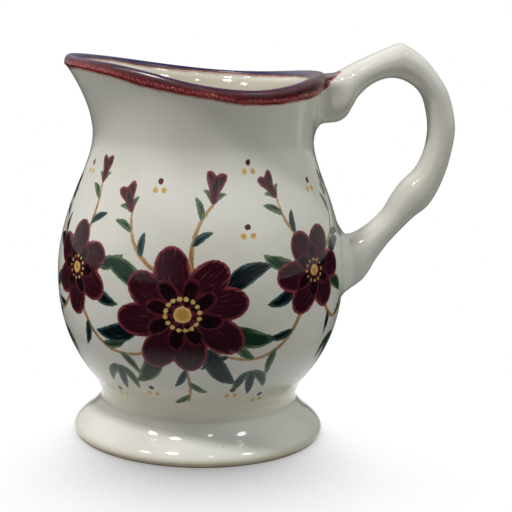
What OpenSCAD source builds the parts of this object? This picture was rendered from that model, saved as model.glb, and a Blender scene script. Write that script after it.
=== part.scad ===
// Cream jug: round belly on a pedestal foot, flared mouth with a pulled pouring lip,
// ear-shaped handle luted to neck and belly. Millimetres, +Z up, origin on the ground
// under the middle of the foot. The handle points to +X and the pouring lip to -X.

/* [Foot] */
// Radius of the pedestal at its widest, just above the ground
foot_radius = 33.7; // [28:0.1:41]
// Height of the bare clay ring that stands on the table
ring_height = 1.2; // [0.8:0.1:2]
// How far the bare ring is set in from the pedestal's edge
ring_inset = 0.4; // [0.2:0.1:1]
// Width of the bare ring, from its outer to its inner edge
ring_width = 5; // [3:0.1:8]
// Bevel on the ring's lower edges
ring_bevel = 0.4; // [0.2:0.05:0.6]
// Clay left above the hollow underside, at the middle
foot_plate = 4.5; // [3:0.1:6]

/* [Body] */
// Height of the waist, where the body is luted to the pedestal
waist_height = 11; // [9:0.1:14]
// Radius of the waist
waist_radius = 26.3; // [21:0.1:31]
// How far above the waist the body has turned outwards
hip_rise = 4.6; // [3:0.1:6]
// How much wider than the waist the body is there
hip_step = 1.8; // [1:0.1:3]
// Height of the widest part of the belly
belly_height = 44; // [36:0.5:53]
// Radius of the belly at its widest
belly_radius = 38; // [31:0.1:46]
// Height of the neck at its narrowest
neck_height = 80.5; // [74:0.5:97]
// Radius of the neck at its narrowest
neck_radius = 28.9; // [24:0.1:35]
// Thickness of the clay wall
wall = 3.4; // [2.6:0.1:4.2]
// Thickness of the floor inside
floor_thickness = 4; // [3:0.1:6]

/* [Lip] */
// Height of the lip's outer edge above the neck, before its rises
lip_height = 10.2; // [8:0.1:14]
// Radius of the lip's outer edge at the sides
lip_radius = 30.8; // [26:0.1:37]
// How much further out the pouring lip reaches
spout_reach = 5.2; // [3:0.1:7]
// How much higher the pouring lip stands
spout_rise = 7.2; // [4:0.1:9]
// How much further out the lip reaches at the handle
handle_flare = 0.7; // [0:0.1:1.5]
// How much higher the lip stands at the handle
handle_rise = 3.8; // [2:0.1:5]
// Thickness of the coloured glaze band
band_thickness = 0.3; // [0.2:0.05:0.5]
// How far down the outside of the lip the band runs, below the lip's rounding
band_depth = 1; // [0.6:0.1:2]

/* [Handle] */
// How far the handle's outside stands off from the belly at its widest
handle_span = 29.1; // [24:0.1:36]
// How far the thumb peak rises above the lip at the handle
peak_rise = 8.8; // [6:0.1:12]
// How far the thumb peak sits in from the handle's outside
peak_setback = 15; // [12:0.1:18]
// How far below the lip the handle's outermost bend is
bend_drop = 13.2; // [11:0.1:16]
// How far above the start of the lower arm the knuckle is
knuckle_rise = 10.4; // [8.6:0.1:12.5]
// How far the knuckle sits in from the handle's outside
knuckle_setback = 10.2; // [8:0.1:12]
// How far above the belly's widest the lower arm leaves its joint
lower_arm_rise = 10; // [8:0.1:12]
// Thickness of the strap at the bend
strap_thickness = 6.8; // [5.6:0.1:8.2]
// Width of the strap
strap_width = 11.4; // [9.4:0.1:13.8]
// Thickness at the thumb peak
peak_thickness = 9.4; // [8:0.1:11.3]
// Thickness at the knuckle
knuckle_thickness = 9.2; // [7.6:0.1:11]

/* [Handle joints] */
// Clear length of the upper joint, from the lip's outer edge to the strap
upper_joint_length = 9.9; // [8:0.1:12]
// Height of the upper joint's pad on the neck
upper_pad_height = 13.2; // [11:0.1:15.8]
// Clear length of the lower joint, from the belly to the strap
lower_joint_length = 10.4; // [8:0.1:13]
// Height of the lower joint's pad on the belly
lower_pad_height = 16; // [13:0.1:19.2]
// Width of both pads
pad_width = 14; // [11.6:0.1:17]

/* [Hidden] */

// Finishes
glaze = [0.86, 0.85, 0.79];
bare_clay = [0.66, 0.53, 0.40];
band_colour = [0.38, 0.15, 0.19];

// Steps round the jug, up the lower wall, up the flare below the band and over the lip
columns = 48;
wall_steps = 17;
flare_steps = 5;
lip_steps = 6;
// Points round the strap and rings between two of its points
strap_sides = 16;
strap_steps = 6;
// How much closer together the wall's steps lie near the waist, 1 for even steps
wall_crowding = 1.3;
// How sharply the flare, the pouring lip and the rise at the handle set in
flare_power = 1.75;
spout_power = 6;
spout_rise_power = 2;
handle_power = 4;
// Squareness of the strap's section, 1 for an ellipse
strap_power = 0.85;
// Share of the pedestal's step left at its ankle, halfway up, and how steep it is there
ankle_share = 0.37;
ankle_steepness = 1.5;
// Outward slope of the body just above the waist
hip_slope = 1;
// Share of the way up from belly to neck at which half the step is done, and how steep it is
shoulder_share = 0.575;
shoulder_steepness = 1.55;
// How far below the thumb peak the strap has turned over its outer corner
corner_drop = 11.3;
// How far above the knuckle the strap swings in, and how far in it is there
swing_rise = 7.8;
swing_inset = 2;
// How far out and up from its joint the lower arm runs straight
arm_run = 3.2;
// How much wider the strap is at the knuckle, and twice that at the thumb peak
width_swell = 0.5;
// Rings along each joint, and how late a joint narrows to the strap, 1 for evenly
joint_steps = 7;
joint_power = 2.5;
// How far the lower pad's middle hangs below the place where the arm leaves it
pad_drop = 6.4;
// How deep the joints' lofts run into the wall before they are cut to it
joint_bury = 3;
// Sides of the turned pieces
turned_sides = 96;

// Cubic through two values with a slope at each end
function cubic(t, p0, p1, m0, m1) =
    (2*t*t*t - 3*t*t + 1)*p0 + (t*t*t - 2*t*t + t)*m0
    + (3*t*t - 2*t*t*t)*p1 + (t*t*t - t*t)*m1;

// Radius at height z on an outline given as [height, radius, slope] knots
function outline_radius(knots, z, i = 0) =
    (i < len(knots) - 2 && z > knots[i + 1][0]) ? outline_radius(knots, z, i + 1) :
    let (a = knots[i], b = knots[i + 1], h = b[0] - a[0])
    cubic((z - a[0])/h, a[1], b[1], a[2]*h, b[2]*h);

// Outline of the pedestal, from its edge to the waist
ankle_height = (ring_height + waist_height)/2;
ankle_radius = waist_radius + ankle_share*(foot_radius - waist_radius);
ankle_slope = -ankle_steepness*(foot_radius - waist_radius)/(waist_height - ring_height);
foot_knots = [
    [ring_height, foot_radius, 0],
    [ankle_height, ankle_radius, ankle_slope],
    [waist_height, waist_radius, 0]
];

// Outline of the body, from the waist to the neck
shoulder_height = belly_height + shoulder_share*(neck_height - belly_height);
shoulder_radius = (belly_radius + neck_radius)/2;
shoulder_slope = -shoulder_steepness*(belly_radius - neck_radius)/(neck_height - belly_height);
body_knots = [
    [waist_height, waist_radius, 0],
    [waist_height + hip_rise, waist_radius + hip_step, hip_slope],
    [belly_height, belly_radius, 0],
    [shoulder_height, shoulder_radius, shoulder_slope],
    [neck_height, neck_radius, 0]
];
floor_height = waist_height + floor_thickness;

// Outer edge of the lip in the direction az, where 0 is the handle and 180 the pouring lip
function toward_spout(az) = (1 - cos(az))/2;
function toward_handle(az) = (1 + cos(az))/2;
function lip_edge_radius(az) =
    lip_radius + spout_reach*pow(toward_spout(az), spout_power)
    + handle_flare*pow(toward_handle(az), handle_power);
function lip_edge_height(az) =
    neck_height + lip_height + spout_rise*pow(toward_spout(az), spout_rise_power)
    + handle_rise*pow(toward_handle(az), handle_power);

// Outer wall as [radius, height] stations from the waist up to the lip's edge.
// The last station but one is the band's lower edge.
function flare_point(az, s) = [
    neck_radius + (lip_edge_radius(az) - neck_radius)*pow(s, flare_power),
    neck_height + (lip_edge_height(az) - neck_height)*s
];
function band_start(az) = 1 - band_depth/(lip_edge_height(az) - neck_height);
function outer_wall(az) = concat(
    [for (k = [0:wall_steps - 1])
        let (z = waist_height + (neck_height - waist_height)*pow(k/wall_steps, wall_crowding))
        [outline_radius(body_knots, z), z]],
    [for (k = [0:flare_steps]) flare_point(az, band_start(az)*k/flare_steps)],
    [flare_point(az, 1)]
);
stations = wall_steps + flare_steps + 2;

// Unit vector along a run of stations at station k, and the one square to it, into the wall
function along(run, k) =
    let (d = run[min(k + 1, len(run) - 1)] - run[max(k - 1, 0)]) d/norm(d);
function inward(run, k) = let (t = along(run, k)) [-t[1], t[0]];

// Points over the lip's half-round edge, grown outwards by g
function lip_round(run, g) =
    let (e = len(run) - 1, n = inward(run, e), t = along(run, e), c = run[e] + n*wall/2)
    [for (k = [0:lip_steps])
        let (q = 180*k/lip_steps) c + (wall/2 + g)*(t*sin(q) - n*cos(q))];

// Inner wall from the lip down to the floor
function inner_wall(run) =
    [for (k = [len(run) - 2:-1:0])
        let (p = run[k] + wall*inward(run, k)) [p[0], max(p[1], floor_height)]];

// Closed outline of the body's wall, and of the band over its lip
function body_section(az) =
    let (run = outer_wall(az))
    concat([for (k = [0:stations - 2]) run[k]], lip_round(run, 0), inner_wall(run));
function band_section(az) =
    let (run = outer_wall(az), low = run[stations - 2], n = inward(run, stations - 2))
    let (outside = lip_round(run, band_thickness))
    concat([low], lip_round(run, 0),
           [for (k = [lip_steps:-1:0]) outside[k]], [low - n*band_thickness]);
// Outside of body and band together, up to the top of the lip
function filled_section(az) =
    let (run = outer_wall(az), low = run[stations - 2], n = inward(run, stations - 2))
    let (outside = lip_round(run, band_thickness))
    concat([for (k = [0:stations - 2]) run[k]], [low - n*band_thickness],
           [for (k = [0:lip_steps/2]) outside[k]]);

function turned(p, az) = [p[0]*cos(az), p[0]*sin(az), p[1]];

// Triangles between neighbouring sections of m points, n sections in a closed round
function round_faces(n, m, rows) =
    [for (i = [0:n - 1], j = [0:rows - 1])
        let (a = i*m + j, b = ((i + 1) % n)*m + j)
        let (c = ((i + 1) % n)*m + (j + 1) % m, d = i*m + (j + 1) % m)
        each [[a, c, b], [a, d, c]]];
function flipped(faces) = [for (f = faces) [f[0], f[2], f[1]]];

function azimuths() = [for (i = [0:columns - 1]) 360*i/columns];

module foot_ring() {
    outer = foot_radius - ring_inset;
    inner = outer - ring_width;
    color(bare_clay) rotate_extrude($fn = turned_sides) polygon([
        [inner + ring_bevel, 0], [outer - ring_bevel, 0], [outer, ring_bevel],
        [outer, ring_height], [inner, ring_height], [inner, ring_bevel]
    ]);
}

module pedestal_foot() {
    edge_steps = 14;
    hollow_steps = 8;
    hollow_radius = foot_radius - ring_inset - ring_width;
    hollow_top = waist_height - foot_plate;
    outside = [for (k = [0:edge_steps])
        let (z = ring_height + (waist_height - ring_height)*k/edge_steps)
        [outline_radius(foot_knots, z), z]];
    hollow = [for (k = [0:hollow_steps])
        let (q = 90*k/hollow_steps)
        [hollow_radius*sin(q), ring_height + (hollow_top - ring_height)*cos(q)]];
    color(glaze) rotate_extrude($fn = turned_sides)
        polygon(concat(outside, [[0, waist_height]], hollow));
}

module jug_body() {
    m = 2*stations - 2 + lip_steps + 1;
    points = [for (az = azimuths()) each [for (p = body_section(az)) turned(p, az)]];
    base = [for (i = [0:columns - 1]) i*m];
    floor_rim = [for (i = [columns - 1:-1:0]) i*m + m - 1];
    color(glaze)
        polyhedron(points, concat(round_faces(columns, m, m - 1), [base], [floor_rim]));
}

module rim_band() {
    m = 2*lip_steps + 4;
    points = [for (az = azimuths()) each [for (p = band_section(az)) turned(p, az)]];
    color(band_colour) polyhedron(points, flipped(round_faces(columns, m, m)));
}

// Body and band as one filled and heaped solid, for cutting the joints to their outside
module filled_jug() {
    m = stations + lip_steps/2 + 1;
    points = [for (az = azimuths()) each [for (p = filled_section(az)) turned(p, az)]];
    top = len(points);
    base = [for (i = [0:columns - 1]) i*m];
    cover = [for (i = [0:columns - 1]) [i*m + m - 1, top, ((i + 1) % columns)*m + m - 1]];
    polyhedron(
        concat(points, [[0, 0, peak_height]]),
        concat(round_faces(columns, m, m - 1), [base], cover)
    );
}

// Middle line of the strap as [out, up, thickness, width] points, from the upper joint
// over the thumb peak, round the bend and past the knuckle to the lower joint
lip_crown = lip_edge_height(0) + wall/2;
handle_reach = belly_radius + handle_span;
peak_height = lip_crown + peak_rise;
bend_height = lip_crown - bend_drop;
lower_arm_height = belly_height + lower_arm_rise;
knuckle_height = lower_arm_height + knuckle_rise;
belly_skin = outline_radius(body_knots, lower_arm_height);
strap_outside = handle_reach - strap_thickness/2;
upper_start = [lip_edge_radius(0) + upper_joint_length, lip_crown];
lower_end = [belly_skin + lower_joint_length, lower_arm_height];
strap_line = [
    [upper_start[0], upper_start[1], strap_thickness, strap_width],
    [handle_reach - peak_setback, peak_height - peak_thickness/2,
     peak_thickness, strap_width + 2*width_swell],
    [handle_reach - strap_thickness, peak_height - corner_drop, strap_thickness, strap_width],
    [strap_outside, bend_height, strap_thickness, strap_width],
    [strap_outside - swing_inset, knuckle_height + swing_rise, strap_thickness, strap_width],
    [handle_reach - knuckle_setback, knuckle_height,
     knuckle_thickness, strap_width + width_swell],
    [lower_end[0] + arm_run, lower_end[1] + arm_run, strap_thickness, strap_width],
    [lower_end[0], lower_end[1], strap_thickness, strap_width]
];

// Point on the smooth line through the list, at step t between points k and k + 1
function line_slope(list, k) =
    (list[min(k + 1, len(list) - 1)] - list[max(k - 1, 0)])
    /((k == 0 || k == len(list) - 1) ? 1 : 2);
function line_point(list, k, t) =
    cubic(t, list[k], list[k + 1], line_slope(list, k), line_slope(list, k + 1));

// One oval ring: [out, up, thickness, width] and the tilt of its thickness from upright
function rounded(v) = sign(v)*pow(abs(v), strap_power);
function oval_ring(p, tilt) =
    [for (i = [0:strap_sides - 1])
        let (q = 360*i/strap_sides, h = p[2]/2*rounded(cos(q)))
        [p[0] - h*sin(tilt), p[3]/2*rounded(sin(q)), p[1] + h*cos(tilt)]];

function strap_points() = concat(
    [for (k = [0:len(strap_line) - 2], j = [0:strap_steps - 1])
        line_point(strap_line, k, j/strap_steps)],
    [strap_line[len(strap_line) - 1]]
);
// Unrolls a turn so that the tilt grows steadily from ring to ring
function tilt_at(points, k) =
    let (d = points[min(k + 1, len(points) - 1)] - points[max(k - 1, 0)])
    let (q = atan2(d[1], d[0])) q > 90 ? q - 360 : q;

// Closed loft through rings
module loft(rings) {
    n = len(rings);
    s = strap_sides;
    sides = [for (i = [0:n - 2], j = [0:s - 1])
        let (a = i*s + j, b = i*s + (j + 1) % s, c = (i + 1)*s + (j + 1) % s, d = (i + 1)*s + j)
        each [[a, b, c], [a, c, d]]];
    near_end = [for (j = [s - 1:-1:0]) j];
    far_end = [for (j = [0:s - 1]) (n - 1)*s + j];
    polyhedron([for (r = rings) each r], concat(sides, [near_end], [far_end]));
}

strap_tilts = let (points = strap_points())
    [for (k = [0:len(points) - 1]) tilt_at(points, k)];
strap_rings = let (points = strap_points())
    [for (k = [0:len(points) - 1]) oval_ring(points[k], strap_tilts[k])];

module handle() {
    color(glaze) loft(strap_rings);
}

// Rings from inside the wall, over a pad on it and out to one end of the strap. Pad and
// tip are [out, up, thickness, width], and the tilt turns from the pad's to the tip's.
function joint_rings(pad, tip, pad_tilt, tip_tilt) = concat(
    [oval_ring([pad[0] - wall - joint_bury, pad[1], pad[2], pad[3]], pad_tilt)],
    [for (k = [0:joint_steps])
        let (s = k/joint_steps, e = pow(s, joint_power), p = pad + (tip - pad)*e)
        oval_ring([pad[0] + (tip[0] - pad[0])*s, p[1], p[2], p[3]],
                  pad_tilt + (tip_tilt - pad_tilt)*e)]
);

// A joint's loft with the side that meets the jug cut to the jug's outside
module luted(rings) {
    color(glaze) difference() {
        loft(rings);
        filled_jug();
    }
}

// Pad that swells down the neck under the lip, out to the strap's first ring
module upper_handle_joint() {
    pad = [lip_edge_radius(0), lip_crown - upper_pad_height/2, upper_pad_height, pad_width];
    luted(joint_rings(pad, strap_line[0], 0, strap_tilts[0]));
}

// Pad that spreads onto the belly, from the strap's last ring
module lower_handle_joint() {
    last = len(strap_rings) - 1;
    pad = [belly_skin, lower_arm_height - pad_drop, lower_pad_height, pad_width];
    rings = joint_rings(pad, strap_line[len(strap_line) - 1], -180, strap_tilts[last]);
    luted([for (k = [len(rings) - 1:-1:0]) rings[k]]);
}

foot_ring();
pedestal_foot();
jug_body();
rim_band();
handle();
upper_handle_joint();
lower_handle_joint();
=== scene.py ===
# Cream jug in glazed clay: round belly on a pedestal foot, pulled pouring lip, ear handle.
import math
from functools import lru_cache

import bmesh
import bpy
import numpy as np
from mathutils import Matrix, Vector


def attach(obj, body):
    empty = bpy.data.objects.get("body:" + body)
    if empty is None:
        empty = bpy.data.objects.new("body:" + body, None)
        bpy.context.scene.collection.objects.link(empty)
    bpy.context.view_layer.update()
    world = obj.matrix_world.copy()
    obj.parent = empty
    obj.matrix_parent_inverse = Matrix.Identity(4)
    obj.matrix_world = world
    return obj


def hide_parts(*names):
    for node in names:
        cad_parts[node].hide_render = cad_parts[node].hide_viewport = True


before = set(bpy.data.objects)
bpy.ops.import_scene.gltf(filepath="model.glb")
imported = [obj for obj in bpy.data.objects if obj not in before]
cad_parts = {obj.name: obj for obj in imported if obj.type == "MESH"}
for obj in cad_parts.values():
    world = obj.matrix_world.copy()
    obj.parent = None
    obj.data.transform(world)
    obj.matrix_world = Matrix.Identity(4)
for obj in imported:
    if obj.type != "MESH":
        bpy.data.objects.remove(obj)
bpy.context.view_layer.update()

scene = bpy.context.scene
MM = 0.001

# Foot
FOOT_RADIUS = 33.7*MM
RING_HEIGHT = 1.2*MM
RING_INSET = 0.4*MM
RING_WIDTH = 5*MM
RING_BEVEL = 0.4*MM
FOOT_PLATE = 4.5*MM

# Body
WAIST_HEIGHT = 11*MM
WAIST_RADIUS = 26.3*MM
HIP_RISE = 4.6*MM
HIP_STEP = 1.8*MM
BELLY_HEIGHT = 44*MM
BELLY_RADIUS = 37.97*MM
NECK_HEIGHT = 80.5*MM
NECK_RADIUS = 28.9*MM
WALL = 3.4*MM
FLOOR_HEIGHT = WAIST_HEIGHT + 4*MM
FLOOR_FILLET = 7*MM

# Lip: the plain flare, how far the pouring lip and the handle side are pulled, and the band
LIP_RISE = 10.2*MM
LIP_RADIUS = 30.8*MM
LIP_HEIGHT = NECK_HEIGHT + LIP_RISE
FLARE_POWER = 1.75
SPOUT_REACH = 5.2*MM
SPOUT_RISE = 7.2*MM
SPOUT_POWER = 6
SPOUT_RISE_POWER = 2
HANDLE_FLARE = 0.7*MM
HANDLE_RISE = 3.8*MM
HANDLE_POWER = 4
LIP_HALF = WALL/2
LIP_CROWN = 0.2*MM
LIP_TAPER = 1.1*MM
TAPER_RUN = 4.2*MM
INNER_DROP = 0.85
BAND_THICKNESS = 0.11*MM
BAND_BEAD = 0.09*MM
BAND_SINK = 0.15*MM
# Clay smoothed over the lip's inner edge where the handle was set on
HANDLE_FILL = 3.4*MM
HANDLE_FILL_POWER = 8
HANDLE_FILL_DEPTH = 9*MM
# How much higher or lower the hand left the lip, in millimetres by degrees round from the handle,
# with one place past each end so that the two meet smoothly
LIP_UNEVEN = [(-208, 0.0), (-180, 0.3), (-154, 0.8), (-138, 1.3), (-118, 1.15), (-104, 0.6),
              (-86, 0.1), (-68, -0.1), (-52, 0.25), (-37, 0.7), (-20, 0.65), (0, 0.15),
              (30, 0.0), (90, 0.1), (152, 0.0), (180, 0.3), (206, 0.8)]

# Lower edge of the rim's band by degrees from the handle: way over the lip's round, in millimetres
BAND_EDGE = [(0, -1.1), (40, -1.1), (62, -1.05), (78, -0.85), (90, -0.35),
             (115, 0.35), (146, 0.88), (163, 0.5), (180, -0.2)]
# Its inner end, on the same way
BAND_END = [(0, 5.3), (30, 5.2), (50, 4.9), (70, 4.4), (95, 4.7), (118, 5.0), (150, 4.8),
            (166, 5.3), (180, 6.2)]
# Wobble of the brush there: size in millimetres, waves round the rim, turn
BAND_WOBBLE = [(0.06, 7, 0.3), (0.05, 16, 1.9), (0.03, 37, 4.0), (0.02, 83, 2.2)]
# How much later the band turns blue inside by the handle, in millimetres, and how wide that is
BLUE_LATE = 2.0
BLUE_LATE_WIDTH = math.radians(26)
# How much narrower the glaze bleeds out below the band than inside
BLEED_CRISP = 2.4
# Way over the lip that parts its two sides, and how far below the band the painted shade inside the jug
# fades in
CROWN_WAY = 2
INNER_SHADE_FADE = 2
# How far the band thins out: in millimetres at its lower edge, as a share of its way at its inner end
BAND_FADE = 0.3
BAND_END_FADE = 0.06
# Its bead: middle over the edge and width, in millimetres, and how unevenly it runs round
BEAD_PLACE = 0.42
BEAD_WIDTH = 0.26
BEAD_UNEVEN = 0.5
BEAD_WAVES = (97, 41)

# Handle: outside and inside edge of the strap at its side, and its width, in millimetres
STRAP = [
    ((32.2, 96.6), (31.8, 83.6), 11.6),
    ((34.6, 96.9), (35.4, 84.1), 11.6),
    ((36.6, 97.9), (37.5, 85.6), 13.2),
    ((37.9, 98.7), (38.9, 88.2), 13.6),
    ((39.4, 99.5), (40.6, 91.0), 12.4),
    ((41.5, 100.5), (43.9, 94.0), 11.8),
    ((46.4, 102.8), (47.7, 95.6), 11.6),
    ((51.8, 104.9), (51.4, 95.6), 11.8),
    ((57.2, 101.8), (54.8, 94.2), 11.6),
    ((61.7, 96.9), (57.5, 91.9), 11.4),
    ((65.0, 91.6), (59.1, 88.5), 11.2),
    ((67.0, 83.4), (60.2, 82.4), 11.0),
    ((66.2, 75.5), (59.5, 76.3), 11.0),
    ((64.1, 68.2), (57.2, 71.4), 11.2),
    ((60.9, 62.1), (53.7, 67.9), 11.6),
    ((56.9, 58.7), (51.2, 64.2), 11.4),
    ((53.3, 55.1), (48.9, 60.1), 11.2),
    ((50.0, 51.4), (45.7, 56.8), 11.6),
    ((46.9, 47.0), (43.0, 54.8), 12.2),
    ((45.5, 44.4), (41.3, 53.95), 12.8),
    ((43.6, 41.6), (40.2, 53.65), 13.4),
    ((41.4, 39.8), (39.6, 53.6), 14.0),
]
PEAK = 7
PEAK_CORNER = 0.3
STRAP_SQUARENESS = 2.4
# How much wider the strap's outside is at its first places, in millimetres
STRAP_SHOULDER = [9.0, 4.6, 1.4, 0.3, 0]
PRINT_SQUARENESS = 2.5
# A print grown by this gives the way in which the fillet runs out
PRINT_GROWTH = 1.04
# Footprints on the jug: height of the middle, reach from there to the strap's outside and inside,
# half width, and how softly the fillet runs out
UPPER_FOOT = (86.0*MM, 11.0*MM, 8.2*MM, 16.5*MM, 0.95)
LOWER_FOOT = (47.3*MM, 10.6*MM, 11.6*MM, 13.0*MM, 0.62)
FOOT_SINK = 0.02*MM
END_SINK = 1.2*MM
# Part of a step along the strap's list over which its heading is taken
HEADING_STEP = 0.05
# Where the fillets' edges take on the wall's shading: within this gap, and below the lip
EDGE_BLEND = 0.9*MM
EDGE_TOP = 91*MM
EDGE_TOP_FADE = 4*MM
# Maroon that runs from the lip onto the handle: how far out it reaches by height, in millimetres
MAROON_REACH = [(90, 26.4), (94, 32.0), (95.2, 32.3), (97, 35.6)]

# How finely the pieces are divided, round the axis and along their outlines
BODY_COLUMNS = 420
FOOT_COLUMNS = 288
BAND_COLUMNS = 960
WALL_ROWS = 150
FLARE_ROWS = 24
LIP_ROWS = 12
UNDER_LIP_ROWS = 9
INSIDE_ROWS = 22
CORNER_ROWS = 7
PLATE_ROWS = 4
BASE_ROWS = 3
FOOT_ROWS = 66
HOLLOW_ROWS = 16
BEVEL_ROWS = 6
PATH_ROWS = 400
CROWN_ROWS = 20
MERGE_GAP = 0.002*MM
NEAR_AXIS = 1e-9


def cubic(t, p0, p1, m0, m1):
    """Cubic through two values with a slope at each end."""
    return ((2*t**3 - 3*t**2 + 1)*p0 + (t**3 - 2*t**2 + t)*m0
            + (3*t**2 - 2*t**3)*p1 + (t**3 - t**2)*m1)


def eased(knots, value):
    """Smooth run through (place, value) knots, for an array of places."""
    places, values = np.array(knots, dtype=float).T
    slopes = np.gradient(values, places)
    k = np.clip(np.searchsorted(places, value) - 1, 0, len(places) - 2)
    run = places[k + 1] - places[k]
    return cubic((value - places[k])/run, values[k], values[k + 1], slopes[k]*run, slopes[k + 1]*run)


def outline_radius(knots, z):
    """Radius at height z on an outline given as (height, radius, slope) knots."""
    k = 0
    while k < len(knots) - 2 and z > knots[k + 1][0]:
        k += 1
    (z0, r0, m0), (z1, r1, m1) = knots[k], knots[k + 1]
    h = z1 - z0
    return cubic((z - z0)/h, r0, r1, m0*h, m1*h)


HEM_HEIGHT = 0.35*MM
HEM_GAP = 0.01*MM
FOOT_KNOTS = [
    (HEM_HEIGHT, FOOT_RADIUS - RING_INSET, 0.3),
    (1.3*MM, FOOT_RADIUS - 0.05*MM, 0),
    (6.1*MM, 29.1*MM, -1.05),
    (8.9*MM, 26.75*MM, -0.72),
    (10.3*MM, WAIST_RADIUS, 0),
    (WAIST_HEIGHT, WAIST_RADIUS, 0),
]
NECK_STEP = BELLY_RADIUS - NECK_RADIUS
NECK_RUN = NECK_HEIGHT - BELLY_HEIGHT
BODY_KNOTS = [
    (WAIST_HEIGHT, WAIST_RADIUS, 0),
    (WAIST_HEIGHT + HIP_RISE/2, WAIST_RADIUS + 0.37*HIP_STEP, 0.42),
    (WAIST_HEIGHT + HIP_RISE, WAIST_RADIUS + HIP_STEP, 0.85),
    (BELLY_HEIGHT, BELLY_RADIUS, 0),
    (BELLY_HEIGHT + 0.575*NECK_RUN, NECK_RADIUS + NECK_STEP/2, -1.55*NECK_STEP/NECK_RUN),
    (NECK_HEIGHT, NECK_RADIUS, 0),
]


def wall_radius(z):
    """Outer radius of the body at height z, before the lip is pulled."""
    if z <= NECK_HEIGHT:
        return outline_radius(BODY_KNOTS, z)
    return NECK_RADIUS + (LIP_RADIUS - NECK_RADIUS)*((z - NECK_HEIGHT)/LIP_RISE)**FLARE_POWER


def wall_slope(z):
    """Change of the outer radius with height."""
    step = 0.01*MM
    return (wall_radius(z) - wall_radius(z - step))/step


def inner_radius(z):
    """Inner radius: one wall in from the outside, drawn back a little under the lip."""
    share = max(0, 1 - (LIP_HEIGHT - z)/TAPER_RUN)
    return wall_radius(z) - WALL*math.hypot(1, wall_slope(z)) + LIP_TAPER*share**2


LIP_LEAN = math.atan(wall_slope(LIP_HEIGHT))


def lip_point(way, grow):
    """Point (radius, height) a way over the lip's edge from its outer side, grown off the clay."""
    if way < 0:
        height = LIP_HEIGHT + way*math.cos(LIP_LEAN)
        return wall_radius(height) + grow, height
    turn = min(way/LIP_HALF, math.pi)
    out = math.cos(turn)
    reach = LIP_HALF + grow if out > 0 else LIP_HALF - LIP_TAPER + grow
    rise = (LIP_HALF + LIP_CROWN + grow)*math.sin(turn)
    over = reach*out - LIP_HALF
    radius = LIP_RADIUS + over*math.cos(LIP_LEAN) + rise*math.sin(LIP_LEAN)
    height = LIP_HEIGHT - over*math.sin(LIP_LEAN) + rise*math.cos(LIP_LEAN)
    lower = height - INNER_DROP*max(0, way - math.pi*LIP_HALF)
    return radius + inner_radius(lower) - inner_radius(height), lower


def lip_round(grow, count):
    """Points (radius, height) over the lip's rounded edge, grown outwards."""
    return [lip_point(math.pi*LIP_HALF*k/count, grow) for k in range(count + 1)]


def pulled(points):
    """Where the potter's hand takes points of the lip: spout, handle side and its own unevenness."""
    x, y, z = np.moveaxis(np.array(points, dtype=float), -1, 0)
    share = np.clip((z - NECK_HEIGHT)/LIP_RISE, 0, 1)
    radius = np.maximum(np.hypot(x, y), NEAR_AXIS)
    to_spout = (1 - x/radius)/2
    to_handle = (1 + x/radius)/2
    further = SPOUT_REACH*to_spout**SPOUT_POWER + HANDLE_FLARE*to_handle**HANDLE_POWER
    higher = SPOUT_RISE*to_spout**SPOUT_RISE_POWER + HANDLE_RISE*to_handle**HANDLE_POWER
    higher = higher + eased(LIP_UNEVEN, np.degrees(np.arctan2(y, x)))*MM
    inside = np.clip((np.interp(z, PATH_HEIGHT, PATH_RADIUS) - radius)/WALL, 0, 1)
    under_lip = np.clip(1 + (z - LIP_HEIGHT)/HANDLE_FILL_DEPTH, 0, 1)
    fill = HANDLE_FILL*to_handle**HANDLE_FILL_POWER*inside*under_lip**2
    grown = 1 + (further*share**FLARE_POWER - fill)/radius
    return np.stack((x*grown, y*grown, z + higher*share), axis=-1)


# Finishes

def shade(red, green, blue):
    """Colour given as 0 to 255 on screen, as the linear values that a shader takes."""
    parts = [c/255 for c in (red, green, blue)]
    return tuple(c/12.92 if c <= 0.04045 else ((c + 0.055)/1.055)**2.4 for c in parts) + (1,)


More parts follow.
